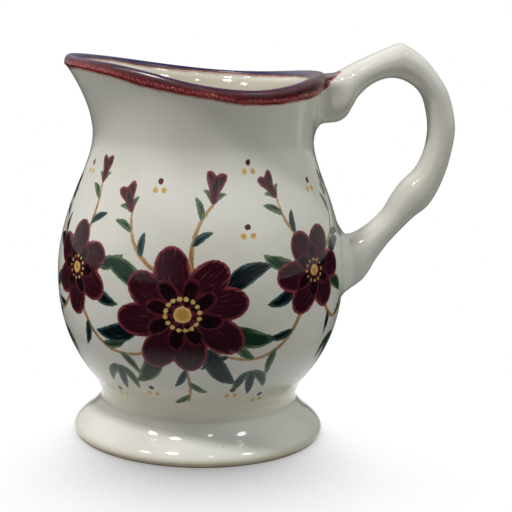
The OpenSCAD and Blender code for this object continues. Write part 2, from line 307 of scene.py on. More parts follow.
class Finish:
    """A material under construction, with short calls for the nodes it is made of."""

    # Places of the colours and the result on a mix node
    MIX_A, MIX_B, MIX_RESULT = 6, 7, 2

    def __init__(self, name):
        self.material = bpy.data.materials.new(name)
        self.material.use_nodes = True
        self.tree = self.material.node_tree
        self.shader = self.tree.nodes["Principled BSDF"]
        self.place = self.node("ShaderNodeTexCoord").outputs["Object"]

    def node(self, kind, **settings):
        made = self.tree.nodes.new(kind)
        for key, value in settings.items():
            setattr(made, key, value)
        return made

    def feed(self, socket, value):
        """Links a socket to another one, or sets its value."""
        if isinstance(value, bpy.types.NodeSocket):
            self.tree.links.new(value, socket)
        else:
            socket.default_value = value

    def fill(self, made, **values):
        """Feeds inputs of a node by their names."""
        for name, value in values.items():
            self.feed(made.inputs[name], value)

    def line_up(self, made, *values):
        """Feeds a node's first inputs in their order and gives its first output."""
        for socket, value in zip(made.inputs, values):
            self.feed(socket, value)
        return made.outputs[0]

    def math(self, operation, a, b=0.0):
        return self.line_up(self.node("ShaderNodeMath", operation=operation), a, b)

    def times(self, a, b):
        return self.math("MULTIPLY", a, b)

    def span(self, value, low, high, out_low=0.0, out_high=1.0, smooth=True):
        """Value eased from low to high into a new range."""
        made = self.node("ShaderNodeMapRange", clamp=True)
        made.interpolation_type = "SMOOTHSTEP" if smooth else "LINEAR"
        return self.line_up(made, value, low, high, out_low, out_high)

    def mix(self, share, a, b):
        made = self.node("ShaderNodeMix", data_type="RGBA")
        self.feed(made.inputs[0], share)
        self.feed(made.inputs[self.MIX_A], a)
        self.feed(made.inputs[self.MIX_B], b)
        return made.outputs[self.MIX_RESULT]

    def noise(self, scale, detail=2.0, roughness=0.5, vector=None):
        made = self.node("ShaderNodeTexNoise")
        self.fill(made, Vector=vector or self.place, Scale=scale, Detail=detail, Roughness=roughness)
        return made.outputs["Fac"]

    def ragged(self, gap, grain, detail, size):
        """Gap to an edge that wanders by a noise of a size."""
        wander = self.math("SUBTRACT", self.noise(grain, detail), 0.5)
        return self.math("ADD", gap, self.times(wander, size))

    def specks(self, scale, size):
        """One small round spot in some cells, as a share from 0 to 1."""
        made = self.node("ShaderNodeTexVoronoi")
        self.fill(made, Vector=self.place, Scale=scale)
        return self.span(made.outputs["Distance"], size, SPECK_CORE*size)

    def split(self, vector=None):
        """The three parts of a vector, or else of the place on the object."""
        made = self.node("ShaderNodeSeparateXYZ")
        self.feed(made.inputs[0], vector or self.place)
        return made.outputs

    def attribute(self, name):
        """The three values that the mesh holds under a name."""
        return self.split(self.node("ShaderNodeAttribute", attribute_name=name).outputs["Vector"])

    def join(self, x, y, z=0.0):
        return self.line_up(self.node("ShaderNodeCombineXYZ"), x, y, z)

    def bump(self, height, strength, distance, normal=None):
        made = self.node("ShaderNodeBump")
        self.fill(made, Height=height, Strength=strength, Distance=distance)
        if normal:
            self.fill(made, Normal=normal)
        return made.outputs["Normal"]

    def glazed(self, colour, wave, rough_low=0.05, rough_high=0.1, satin=0.0):
        """The material, as coloured clay under a fired glaze that is a little duller in some places."""
        self.feed(self.shader.inputs["Base Color"], colour)
        gloss = self.span(self.noise(GLOSS_GRAIN), 0.3, 0.7, rough_low, rough_high)
        self.fill(self.shader, Roughness=self.math("ADD", gloss, satin), IOR=GLAZE_IOR, Normal=wave)
        return self.material

    def two_ways(self, share, first, second):
        """Makes the surface one shader or another by a share."""
        both = self.node("ShaderNodeMixShader")
        surface = self.line_up(both, share, first.outputs[0], second.outputs[0])
        self.fill(self.tree.nodes["Material Output"], Surface=surface)


GLAZE_LIGHT = shade(225, 223, 214)
GLAZE_DEEP = shade(215, 212, 199)
GLAZE_COOL = shade(214, 218, 213)
# Painted shade inside the jug: a darker, warmer cream below the band's inner end
GLAZE_INSIDE_SHADE = shade(184, 176, 152)
GLAZE_WAIST_YELLOW = shade(220, 214, 188)
SPECK = shade(140, 112, 82)
# Heights over which the glaze's yellower tone at the waist fades in, and out again
WAIST_YELLOW_BELOW = (WAIST_HEIGHT - 3*MM, WAIST_HEIGHT + 1*MM)
WAIST_YELLOW_ABOVE = (WAIST_HEIGHT + 12*MM, WAIST_HEIGHT + 2*MM)
BAND_DARK = shade(42, 6, 18)
BAND_RED = shade(84, 18, 30)
# Thin maroon low on the band, also painted lighter to make up for the shade its downward face gets
BAND_LOW_THIN_LIT = shade(144, 50, 53)
# Painted highlight: pale pink for glints on the band's bead
BAND_PINK_GLINT = shade(220, 164, 150)
# Painted reflection on the band's crown
BAND_VIOLET_REFLECTION = shade(66, 38, 94)
BAND_BLEED = shade(158, 98, 66)
BAND_NAVY = shade(30, 20, 70)
CLAY = shade(158, 136, 106)
CLAY_WARM = shade(196, 180, 142)
CLAY_DARK = shade(132, 104, 76)

GLAZE_IOR = 1.48
CLAY_ROUGHNESS = 0.85

# Grain of the finishes: waves of each noise to the metre
CLOUD_GRAIN = 38
COOL_GRAIN = 19
SPECK_GRAIN = 300
SPECK_PATCHES = 90
GLOSS_GRAIN = 70
POUR_GRAIN = 55
PEEL_GRAIN = 900
HEM_GRAIN = 160
CLAY_GRAIN = 240
GRIT_GRAIN = 2600
BRUSH_GRAIN = 420
WORN_GRAIN = 95
BAND_GRAIN = 800

# A speck's size as a share of its cell, and its core as a share of that
SPECK_SIZE = 0.1
SPECK_CORE = 0.4
# Heights on the foot below which the glaze is thin and warm, and where the clay is bare
WARM_HEM = (0.6*MM, 3.4*MM)
BARE_HEM = (0.7*MM, 1.15*MM)
HEM_WANDER = 0.6*MM
# Pink dashes on the band, painted highlights for glints on its bead: waves to the radian and to the
# millimetre, and where they start and stop
DASHES_ROUND = 100
DASHES_UP = 1.3
DASH_START = (0.4, 0.62)
DASH_STOP = (1.3, 0.95)
# Millimetres over the band's edge where the maroon gets thick and its painted lightening ends, and where
# its gloss turns to satin
MAROON_THICK = (1.9, 0.9)
SATIN_ABOVE = (0.8, 1.6)
SATIN = 0.2
# Way over the lip where the painted violet reflection comes in, then navy, and its thin inner end
VIOLET_REFLECTION_WAY = (1.7, 2.6)
NAVY_WAY = (2.4, 3.6)
THIN_END = (0.45, 0.05)
# Ragged edges of glazes and paint: grain, detail and size in millimetres, and how soft they are
HANDLE_EDGE = (BRUSH_GRAIN, 3, 1.1)
HANDLE_SOFT = (-0.25, 0.25)
BLEED_EDGE = (600, 3, 0.8)
BLEED_SOFT = (0.55, -0.1)
PAINT_EDGE = (900, 2, 0.5)
PAINT_SOFT = (-0.12, 0.16)
# How much sooner the maroon gets thick on the handle
HANDLE_THICK = 1.9
# Waves of a brush's hairs to the millimetre along and across it, and how deep in the paint is thick
HAIRS_ALONG = 0.2
HAIRS_ACROSS = 1.6
PAINT_DEEP = 1.3

# Paint thin at a stroke's edge and thick in its middle
PAINT_TONES = {
    "stem": (shade(182, 146, 98), shade(112, 74, 44)),
    "leaf": (shade(96, 120, 84), shade(22, 52, 38)),
    "dark_leaf": (shade(58, 84, 82), shade(4, 18, 24)),
    "petal": (shade(132, 60, 68), shade(50, 14, 26)),
    "heart": (shade(92, 34, 44), shade(22, 6, 14)),
    "pollen": (shade(216, 182, 112), shade(186, 142, 66)),
}


def cream_glaze(finish):
    """Cream glaze in warmer and cooler clouds, yellower in the waist, with a few iron specks."""
    clouds = finish.noise(CLOUD_GRAIN, 3, 0.55)
    colour = finish.mix(finish.span(clouds, 0.35, 0.7), GLAZE_LIGHT, GLAZE_DEEP)
    cool = finish.noise(COOL_GRAIN)
    colour = finish.mix(finish.span(cool, 0.5, 0.75, 0, 0.55), colour, GLAZE_COOL)
    height = finish.split()[2]
    near_waist = finish.times(finish.span(height, *WAIST_YELLOW_BELOW), finish.span(height, *WAIST_YELLOW_ABOVE))
    colour = finish.mix(finish.times(near_waist, 0.7), colour, GLAZE_WAIST_YELLOW)
    patches = finish.span(finish.noise(SPECK_PATCHES), 0.62, 0.68)
    spots = finish.times(finish.specks(SPECK_GRAIN, SPECK_SIZE), patches)
    return finish.mix(finish.times(spots, 0.45), colour, SPECK)


def glaze_wave(finish):
    """Slow unevenness of a poured glaze with a faint orange peel over it."""
    slow = finish.bump(finish.noise(POUR_GRAIN, 1.5, 0.4), 0.25, 0.5*MM)
    return finish.bump(finish.noise(PEEL_GRAIN, 1, 0.4), 0.04, 0.05*MM, slow)


def foot_finish():
    """Cream glaze that gets thin and warm towards the bare hem."""
    finish = Finish("foot_glaze")
    colour = cream_glaze(finish)
    height = finish.split()[2]
    edge = finish.math("ADD", height, finish.times(finish.noise(HEM_GRAIN, 3), HEM_WANDER))
    colour = finish.mix(finish.span(edge, *WARM_HEM, 0.75, 0), colour, CLAY_WARM)
    colour = finish.mix(finish.span(edge, *BARE_HEM, 0.8, 0), colour, CLAY)
    return finish.glazed(colour, glaze_wave(finish))


def clay_finish():
    """Rough bare clay with darker clouds and grit."""
    finish = Finish("bare_clay")
    grains = finish.noise(GRIT_GRAIN, 3, 0.6)
    colour = finish.mix(finish.noise(CLAY_GRAIN, 4, 0.6), CLAY, CLAY_DARK)
    colour = finish.mix(finish.span(grains, 0.55, 0.75, 0, 0.4), colour, SPECK)
    finish.feed(finish.shader.inputs["Base Color"], colour)
    finish.fill(finish.shader, Roughness=CLAY_ROUGHNESS, Normal=finish.bump(grains, 0.4, 0.1*MM))
    return finish.material


def pink_glint_dashes(finish, above):
    """Pale flecks in short upright dashes just over the brushed edge of the maroon: painted glints on its
    bead.
    """
    x, y, _ = finish.split()
    round_way = finish.times(finish.math("ARCTAN2", y, x), DASHES_ROUND)
    flecks = finish.noise(1, 2, 0.6, finish.join(round_way, finish.times(above, DASHES_UP)))
    low = finish.times(finish.span(above, *DASH_START), finish.span(above, *DASH_STOP))
    worn = finish.times(low, finish.span(finish.noise(WORN_GRAIN, 1), 0.38, 0.62, 0.45, 1))
    return finish.times(worn, finish.span(flecks, 0.46, 0.66))


def maroon_glaze(finish, above):
    """Brushed maroon by height over its edge: thin and red below, and painted lighter there to make up for
    the shade on its downward face, with pink dashes of painted glints, then dark.
    """
    clouds = finish.noise(BRUSH_GRAIN, 4, 0.6)
    colour = finish.mix(finish.span(clouds, 0.3, 0.68), BAND_DARK, BAND_RED)
    patchy = finish.span(clouds, 0.25, 0.6, 0.55, 0.95)
    # Thin maroon below, painted lighter there too against the shade on the band's downward face
    thin = finish.times(finish.span(above, *MAROON_THICK), patchy)
    colour = finish.mix(thin, colour, BAND_LOW_THIN_LIT)
    # Pale pink dashes: painted glints on the band's bead
    glint_dashes = pink_glint_dashes(finish, above)
    return finish.mix(finish.times(glint_dashes, 0.85), colour, BAND_PINK_GLINT), glint_dashes


def band_finish():
    """Maroon over the lip, a painted violet reflection on its crown and blue-black where it pooled inside.
    """
    finish = Finish("rim_glaze")
    above, way, to_end = finish.attribute("band_way")
    colour, glint_dashes = maroon_glaze(finish, above)
    # Painted reflection: violet over the crown
    colour = finish.mix(finish.span(way, *VIOLET_REFLECTION_WAY, 0, 0.6), colour, BAND_VIOLET_REFLECTION)
    colour = finish.mix(finish.span(way, *NAVY_WAY), colour, BAND_NAVY)
    colour = finish.mix(finish.span(to_end, *THIN_END, 0, 0.9), colour, BAND_BLEED)
    wave = finish.bump(finish.noise(BAND_GRAIN, 3, 0.6), 0.2, 0.1*MM)
    satin = finish.span(above, *SATIN_ABOVE, 0, SATIN)
    return finish.glazed(colour, finish.bump(glint_dashes, 0.5, 0.2*MM, wave), 0.06, 0.1, satin)


def handle_finish():
    """Cream glaze with the lip's maroon run out over its upper end."""
    finish = Finish("handle_glaze")
    colour = cream_glaze(finish)
    within = finish.ragged(finish.attribute("maroon_depth")[0], *HANDLE_EDGE)
    maroon, _ = maroon_glaze(finish, finish.times(within, HANDLE_THICK))
    colour = finish.mix(finish.span(within, *HANDLE_SOFT), colour, maroon)
    return finish.glazed(colour, glaze_wave(finish))


def painted(finish, colour, paint):
    """Strokes of one paint over a colour: streaks along the brush, thin at the edges."""
    thin, thick = PAINT_TONES[paint]
    depth, along, across = finish.attribute("paint_" + paint)
    cover = finish.span(finish.ragged(depth, *PAINT_EDGE), *PAINT_SOFT)
    hairs = finish.join(finish.times(along, HAIRS_ALONG), finish.times(across, HAIRS_ACROSS))
    streaks = finish.noise(1, 3, 0.6, hairs)
    deep = finish.span(depth, 0, PAINT_DEEP, 0, 0.6)
    body = finish.math("ADD", deep, finish.span(streaks, 0.25, 0.75, 0, 0.55))
    colour_here = finish.mix(finish.span(body, 0.2, 0.8), thin, thick)
    load = finish.times(cover, finish.span(streaks, 0.2, 0.4, 0.94, 1))
    return finish.mix(load, colour, colour_here)


def body_finish():
    """Cream glaze with the garland, painted shade inside the jug and the band's bleed."""
    finish = Finish("body_glaze")
    colour = cream_glaze(finish)
    for paint in PAINT_TONES:
        colour = painted(finish, colour, paint)
    gap, inner, _ = finish.attribute("rim_gap_and_inside_shade")
    # Painted shade inside the jug, below the band's inner end
    colour = finish.mix(finish.times(inner, 0.75), colour, GLAZE_INSIDE_SHADE)
    bleed = finish.span(finish.ragged(gap, *BLEED_EDGE), *BLEED_SOFT)
    colour = finish.mix(finish.times(bleed, 0.6), colour, BAND_BLEED)
    return finish.glazed(colour, glaze_wave(finish))


# Painted garland, on the wall laid flat: across from the front's middle and up from the belly, in mm

PAINT = {paint: [] for paint in PAINT_TONES}
FRONT = math.radians(-95)
FLAT_RADIUS = 36
STROKE_STEP = 0.35
LEAST_POINTS = 4
LEAST_HALF = 0.02
LEAF_TURN = 48
# Place of what is not on the wall
FAR_OFF = 900
# How far round a stroke its field reaches, its value beyond, and how far strokes' streaks lie apart
FIELD_REACH = 3
NO_PAINT = -9.0
STROKE_APART = 31


def leaf_shape(t):
    return np.sin(np.pi*t**0.8)**0.9


def petal_shape(t):
    return (t/0.68)**0.75*((1 - t)/0.32)**0.36


def stem_shape(t):
    return 1 - 0.4*t


def polar(centre, degrees, reach):
    turn = math.radians(degrees)
    return centre[0] + reach*math.cos(turn), centre[1] + reach*math.sin(turn)


def stroke(paint, start, end, bend, width, shape):
    """One pull of the brush: bend is its bow to the left as a share of its length."""
    start, end = np.array(start, float), np.array(end, float)
    run = end - start
    bow = (start + end)/2 + 2*bend*np.array((-run[1], run[0]))
    t = np.linspace(0, 1, int(np.hypot(*run)/STROKE_STEP) + LEAST_POINTS)[:, None]
    spine = (1 - t)**2*start + 2*t*(1 - t)*bow + t**2*end
    PAINT[paint].append((spine, np.maximum(width/2*shape(t[:, 0]), LEAST_HALF)))


def dab(paint, centre, size):
    PAINT[paint].append((np.array([centre], float), np.array([size/2])))


def leaf(paint, foot, degrees, length, width, bend):
    stroke(paint, foot, polar(foot, degrees, length), bend, width, leaf_shape)


def blossom(centre, size, petals, turn):
    """Open flower: a ring of petals, a darker ring of short ones on it and a dabbed middle."""
    step = 360/petals
    wide = size*math.sin(math.pi/petals)
    for k in range(petals):
        way = turn + k*step + 3*math.sin(3.7*k + size)
        reach = size*(1 + 0.06*math.sin(2.3*k + turn))
        foot, tip = polar(centre, way, 0.16*size), polar(centre, way, reach)
        stroke("petal", foot, tip, 0.05, 1.66*wide, petal_shape)
        way += step/2
        foot, tip = polar(centre, way, 0.14*size), polar(centre, way, 0.6*reach)
        stroke("heart", foot, tip, -0.05, 0.82*wide, petal_shape)
    dab("pollen", centre, 0.3*size)
    for k in range(2*petals):
        dab("pollen", polar(centre, turn + k*step/2, 0.29*size), 0.085*size)


def bud(foot, degrees, size):
    """Closed flower on a cup of two leaves."""
    for side in (-1, 1):
        stroke("petal", foot, polar(foot, degrees + 17*side, size), -0.14*side, 0.42*size, petal_shape)
        leaf("leaf", foot, degrees + LEAF_TURN*side, 0.62*size, 0.22*size, -0.2*side)
    stroke("heart", foot, polar(foot, degrees, 0.86*size), 0, 0.3*size, petal_shape)


def sprig(start, end, bend, leaves, size):
    """Stem with leaves to either side by turns."""
    stroke("stem", start, end, bend, 1.3, stem_shape)
    spine = PAINT["stem"][-1][0]
    for k in range(leaves):
        place = int((k + 0.8)/(leaves + 0.4)*(len(spine) - 2))
        run = spine[place + 1] - spine[place]
        way = math.degrees(math.atan2(run[1], run[0]))
        side = 1 if k % 2 else -1
        paint = "leaf" if k % 3 else "dark_leaf"
        leaf(paint, spine[place], way + LEAF_TURN*side, size, 0.3*size, -0.1*side)


def garland():
    """Three open flowers on hanging stems, with buds above them and leaf sprays below."""
    middle, right, left = (-4, -3), (31, 6), (-35, 5)
    for stem in (
            ((-33, -2), (-9, -12), -0.3, 4, 8), ((27, -2), (2, -12), 0.3, 4, 8),
            ((34, -1), (52, -3), -0.34, 3, 7), ((-38, -2), (-53.4, -3), 0.34, 3, 7),
            ((-5, -15), (-3, -30), 0.1, 3, 7)):
        sprig(*stem)
    for start, end, bend, size, way in (
            ((-2, 8), (3, 24), 0.12, 8, 80), ((-10, 7), (-19, 21), 0.14, 7.5, 118),
            ((30, 13), (22, 25), 0.14, 7, 118), ((37, 11), (46, 23), -0.14, 7, 62),
            ((-34, 12), (-33, 27), -0.1, 7, 92), ((-41, 9), (-49, 20), 0.14, 7, 115)):
        sprig(start, end, bend, 2, 6.7)
        bud(end, way, size)
    for way, paint in ((152, "leaf"), (28, "dark_leaf"), (196, "dark_leaf"), (344, "leaf"), (236, "leaf"),
                       (306, "dark_leaf")):
        leaf(paint, polar(middle, way, 11), way, 14, 5.2, 0.12 if way % 180 < 90 else -0.12)
    for way, paint in ((205, "dark_leaf"), (330, "leaf"), (160, "leaf"), (20, "dark_leaf")):
        leaf(paint, polar(right, way, 7.5), way, 9, 3.6, 0.12)
        leaf(paint, polar(left, 180 - way, 7.5), 180 - way, 9, 3.6, -0.12)
    for foot, way in (((-22, -19), 262), ((14, -19), 278), ((43, -13), 275), ((-46, -13), 265)):
        for spread, paint in ((-32, "leaf"), (0, "dark_leaf"), (32, "leaf")):
            leaf(paint, foot, way + spread, 9, 2.8, 0.004*spread)
    blossom(middle, 14, 8, 10)
    blossom(right, 9.5, 6, 0)
    blossom(left, 9.5, 6, 30)
    for cluster in ((12, 17), (-12, 28), (37, 27), (-42, 30), (14, 33), (-27, -30), (20, -30), (10, -27),
                    (-14, -27)):
        for k in range(3):
            dab("pollen" if k else "heart", polar(cluster, 90 + 120*k, 1.5), 1.7)


def paint_field(paint, places):
    """Depth inside the paint's strokes, and the way along and across the nearest one."""
    found = np.tile((NO_PAINT, 0.0, 0.0), (len(places), 1))
    for k, (spine, half) in enumerate(PAINT[paint]):
        reach = half.max() + FIELD_REACH
        inside = (places > spine.min(0) - reach) & (places < spine.max(0) + reach)
        near = inside.all(axis=1).nonzero()[0]
        off = places[near][:, None] - spine
        depth = half - np.hypot(off[..., 0], off[..., 1])
        best = depth.argmax(1)
        depth = depth.max(1)
        gap = off[np.arange(len(near)), best]
        run = np.gradient(spine, axis=0) if len(spine) > 1 else np.array([[1.0, 0.0]])
        way = (run/np.hypot(run[:, 0], run[:, 1])[:, None])[best]
        along = best*STROKE_STEP + (gap*way).sum(1) + STROKE_APART*k
        across = gap[:, 1]*way[:, 0] - gap[:, 0]*way[:, 1]
        better = depth > found[near, 0]
        found[near[better]] = np.stack((depth, along, across), 1)[better]
    return found


# Pieces

HARD_CORNER = math.radians(40)


def piece_from(bm, name, finish):
    """Object at the origin, with outward faces, smooth up to its hard corners."""
    bmesh.ops.remove_doubles(bm, verts=bm.verts, dist=MERGE_GAP)
    bmesh.ops.recalc_face_normals(bm, faces=bm.faces)
    mesh = bpy.data.meshes.new(name)
    bm.to_mesh(mesh)
    bm.free()
    mesh.shade_smooth()
    mesh.set_sharp_from_angle(angle=HARD_CORNER)
    mesh.materials.append(finish)
    piece = bpy.data.objects.new(name, mesh)
    scene.collection.objects.link(piece)
    return piece


def reshape(bm, change):
    """Moves every vertex to where a change of their whole array takes it."""
    places = change(np.array([vert.co for vert in bm.verts]))
    for vert, place in zip(bm.verts, places):
        vert.co = place


def gathered(rows, name, kind, width=1):
    """One value of every row of a mesh's list, as an array."""
    values = np.empty(width*len(rows), kind)
    rows.foreach_get(name, values)
    return values


def set_vertex_vectors(mesh, name, vectors):
    layer = mesh.attributes.new(name, "FLOAT_VECTOR", "POINT")
    layer.data.foreach_set("vector", np.ascontiguousarray(vectors, np.float32).ravel())


def azimuths(mesh):
    """Turn of each vertex about the jug's axis, from the handle."""
    x, y, _ = gathered(mesh.vertices, "co", np.float32, 3).reshape(-1, 3).T
    return np.arctan2(y, x)


def turned(profile, columns, closed=False):
    """Shape turned from (radius, height) points, with the way along them at each vertex."""
    bm = bmesh.new()
    along = bm.verts.layers.float.new("along")
    verts = [bm.verts.new((radius, 0, height)) for radius, height in profile]
    for before, vert in zip(verts, verts[1:]):
        vert[along] = before[along] + (vert.co - before.co).length
    edges = [bm.edges.new(pair) for pair in zip(verts, verts[1:])]
    if closed:
        edges.append(bm.edges.new((verts[-1], verts[0])))
    bmesh.ops.spin(bm, geom=verts + edges, cent=(0, 0, 0), axis=(0, 0, 1),
                   angle=math.tau, steps=columns, use_merge=True)
    bmesh.ops.remove_doubles(bm, verts=bm.verts, dist=MERGE_GAP)
    return bm


def steps(low, high, count):
    """Evenly spaced values after low, up to and including high."""
    return [low + (high - low)*(k + 1)/count for k in range(count)]


def outside_path():
    """Meridian of the outside at the handle as (arc length, radius, height) rows."""
    points = [Vector((wall_radius(z), z)) for z in steps(WAIST_HEIGHT, LIP_HEIGHT, PATH_ROWS)]
    points += [Vector(p) for p in lip_round(BAND_THICKNESS*0.5, 2*CROWN_ROWS)[1:CROWN_ROWS + 1]]
    rows = [(0.0, *points[0])]
    for a, b in zip(points, points[1:]):
        rows.append((rows[-1][0] + (b - a).length, *b))
    return np.array(rows)


PATH_ARC, PATH_RADIUS, PATH_HEIGHT = outside_path().T


def arc_at(height):
    return np.interp(height, PATH_HEIGHT, PATH_ARC)


def round_axis(radius, azimuth, height):
    """Places at a radius, a turn from the handle and a height."""
    return np.stack((radius*np.cos(azimuth), radius*np.sin(azimuth), height), 1)


def brush_wobble(azimuth, side):
    return sum(size*np.sin(waves*azimuth + side*turn) for size, waves, turn in BAND_WOBBLE)


def band_edge(azimuth):
    """Way of the band's lower edge over the lip, in millimetres, as the brush left it."""
    degrees = np.degrees(azimuth)
    return eased(BAND_EDGE, np.abs(degrees)) - eased(LIP_UNEVEN, degrees) + brush_wobble(azimuth, 1)


def band_edge_height(azimuth):
    """Height of that edge on the pulled lip."""
    radius, height = np.array([lip_point(way*MM, 0) for way in band_edge(azimuth)]).T
    return pulled(round_axis(radius, azimuth, height))[:, 2]


def band_end(azimuth):
    """Way at which the band ends inside, in millimetres."""
    return eased(BAND_END, np.abs(np.degrees(azimuth))) + brush_wobble(azimuth, -1)


# Heights on the picture map where the base and the outside end, and the turn taken as a full one
BASE_SHARE = 0.05
OUTSIDE_SHARE = 0.74
FULL_TURN = 0.99999


def wrap_map(mesh, turn, along, outside_end):
    """Picture map wrapped once round the axis, with the outside over most of its height."""
    stops = (0, WAIST_RADIUS, outside_end, along.max())
    rise = np.interp(along, stops, (0, BASE_SHARE, OUTSIDE_SHARE, 1))
    round_share = (turn/math.tau) % 1
    round_share[round_share > FULL_TURN] = 0
    corners = gathered(mesh.loops, "vertex_index", np.int32)
    starts = gathered(mesh.polygons, "loop_start", np.int32)
    u = round_share[corners]
    furthest = np.repeat(np.maximum.reduceat(u, starts), np.diff(np.append(starts, len(u))))
    crosses_seam = (u < 0.25) & (furthest > 0.75)
    u[crosses_seam] += 1
    layer = mesh.uv_layers.new(name="OFBake")
    layer.data.foreach_set("uv", np.stack((u, rise[corners]), 1).astype(np.float32).ravel())


def make_body():
    """Hollow body, turned and then pulled at the lip, with the garland laid on its wall."""
    heights = [WAIST_HEIGHT] + steps(WAIST_HEIGHT, NECK_HEIGHT, WALL_ROWS)
    heights += steps(NECK_HEIGHT, LIP_HEIGHT, FLARE_ROWS)
    outside = [(wall_radius(z), z) for z in heights]
    lip = lip_round(0, LIP_ROWS)[1:]
    round_end = math.pi*LIP_HALF
    lip += [lip_point(way, 0) for way in steps(round_end, round_end + TAPER_RUN, UNDER_LIP_ROWS)]
    lip_end = lip[-1][1]
    floor_edge = FLOOR_HEIGHT + FLOOR_FILLET
    inside = [(inner_radius(z), z) for z in steps(lip_end, floor_edge, INSIDE_ROWS)]
    corner = inner_radius(floor_edge) - FLOOR_FILLET
    fillet = [(corner + FLOOR_FILLET*math.cos(q), floor_edge - FLOOR_FILLET*math.sin(q))
              for q in steps(0, math.pi/2, CORNER_ROWS)]
    floor = [(r, FLOOR_HEIGHT) for r in steps(corner, 0, PLATE_ROWS)]
    base = [(r, WAIST_HEIGHT) for r in steps(0, WAIST_RADIUS, BASE_ROWS)]
    bm = turned([(0, WAIST_HEIGHT)] + base[:-1] + outside + lip + inside + fillet + floor, BODY_COLUMNS)
    reshape(bm, pulled)
    body = piece_from(bm, "jug_body_glazed", body_finish())
    mesh = body.data
    turn = azimuths(mesh)
    along = gathered(mesh.attributes["along"].data, "value", np.float32)
    lip_foot = WAIST_RADIUS + arc_at(LIP_HEIGHT)
    on_wall = (along > WAIST_RADIUS) & (along < lip_foot)
    up = (along - WAIST_RADIUS - arc_at(BELLY_HEIGHT))/MM
    flat = np.stack((FLAT_RADIUS*(-np.abs(turn) - FRONT), up), 1)
    flat[~on_wall] = FAR_OFF
    garland()
    for paint in PAINT:
        set_vertex_vectors(mesh, "paint_" + paint, paint_field(paint, flat))
    way = (along - lip_foot)/MM
    below = BLEED_CRISP*(band_edge(turn) - way)
    past_end = way - band_end(turn)
    gap = np.where(way < CROWN_WAY, below, past_end)
    # Painted shade inside the jug, deeper the further below the band's inner end
    inner = np.clip(past_end/INNER_SHADE_FADE, 0, 1)
    set_vertex_vectors(mesh, "rim_gap_and_inside_shade", np.stack((gap, inner, inner), 1))
    wrap_map(mesh, turn, along, lip_foot)
    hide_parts("jug_body")
    return body


def make_foot():
    """Pedestal with a hollow under it."""
    outside = [(outline_radius(FOOT_KNOTS, z), z) for z in steps(HEM_HEIGHT, WAIST_HEIGHT, FOOT_ROWS)]
    hollow_radius = FOOT_RADIUS - RING_INSET - RING_WIDTH
    hollow_rise = WAIST_HEIGHT - FOOT_PLATE - RING_HEIGHT
    hollow = [(hollow_radius*math.sin(q), RING_HEIGHT + hollow_rise*math.cos(q))
              for q in steps(0, math.pi/2, HOLLOW_ROWS)]
    top = [(r, WAIST_HEIGHT) for r in steps(WAIST_RADIUS, 0, PLATE_ROWS)]
    hem = FOOT_RADIUS - RING_INSET + HEM_GAP
    under = [(hem, RING_HEIGHT), (hem, HEM_HEIGHT)]
    bm = turned([(0, RING_HEIGHT + hollow_rise)] + hollow + under + outside + top, FOOT_COLUMNS)
    foot = piece_from(bm, "pedestal_foot_glazed", foot_finish())
    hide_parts("pedestal_foot")
    return foot


def make_ring():
    """Bare clay ring that the jug stands on."""
    outer = FOOT_RADIUS - RING_INSET
    inner = outer - RING_WIDTH
    bend = steps(0, math.pi/2, BEVEL_ROWS)
    heel = [(outer - RING_BEVEL*(1 - math.sin(q)), RING_BEVEL*(1 - math.cos(q))) for q in bend]
    toe = [(inner + RING_BEVEL*(1 - math.cos(q)), RING_BEVEL*(1 - math.sin(q))) for q in bend]
    profile = [(outer - RING_BEVEL, 0)] + heel
    profile += [(outer, RING_HEIGHT), (inner, RING_HEIGHT), (inner, RING_BEVEL)] + toe
    bm = turned(profile, FOOT_COLUMNS, closed=True)
    ring = piece_from(bm, "foot_ring_bare", clay_finish())
    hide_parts("foot_ring")
    return ring


def make_band():
    """Band of maroon glaze over the lip, with a bead along its brushed lower edge."""
    over, under = 34, 18
    bm = bmesh.new()
    bmesh.ops.create_grid(bm, x_segments=BAND_COLUMNS, y_segments=over + under, size=1)
    way_layer = bm.verts.layers.float_vector.new("band_way")
    across, up = np.array([vert.co.xy for vert in bm.verts]).T
    azimuth = math.pi*across
    row = np.round((up + 1)/2*(over + under))
    share = np.where(row <= over, row/over, 1 - (row - over)/under)
    low, end = band_edge(azimuth), band_end(azimuth)
    way = low + (end - low)*share
    above = way - low
    thinned = np.minimum(1, above/BAND_FADE)*np.minimum(1, (1 - share)/BAND_END_FADE)
    uneven = np.sin(BEAD_WAVES[0]*azimuth)*np.sin(BEAD_WAVES[1]*azimuth)
    bead = np.exp(-((above - BEAD_PLACE)/BEAD_WIDTH)**2)*(1 + BEAD_UNEVEN*uneven)
    lift = np.where(row <= over, thinned*(BAND_THICKNESS + BAND_BEAD*bead), -BAND_SINK*(share > 0))
    radius, height = np.array([lip_point(*pair) for pair in zip(way*MM, lift)]).T
    places = round_axis(radius, azimuth, height)
    blue_way = way - BLUE_LATE*np.exp(-(azimuth/BLUE_LATE_WIDTH)**2)
    for vert, values in zip(bm.verts, np.stack((above, blue_way, end - way), 1)):
        vert[way_layer] = values
    reshape(bm, lambda _: pulled(places))
    band = piece_from(bm, "rim_band_maroon", band_finish())
    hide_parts("rim_band")
    return band


def on_outside(arc, side):
    """Point on the jug's outside, arc along its meridian and side to the left of the handle."""
    radius = np.interp(arc, PATH_ARC, PATH_RADIUS) - FOOT_SINK
    height = np.interp(arc, PATH_ARC, PATH_HEIGHT)
    out = math.sqrt(max(radius**2 - side**2, 0))
    return Vector(pulled((out, side, height)))


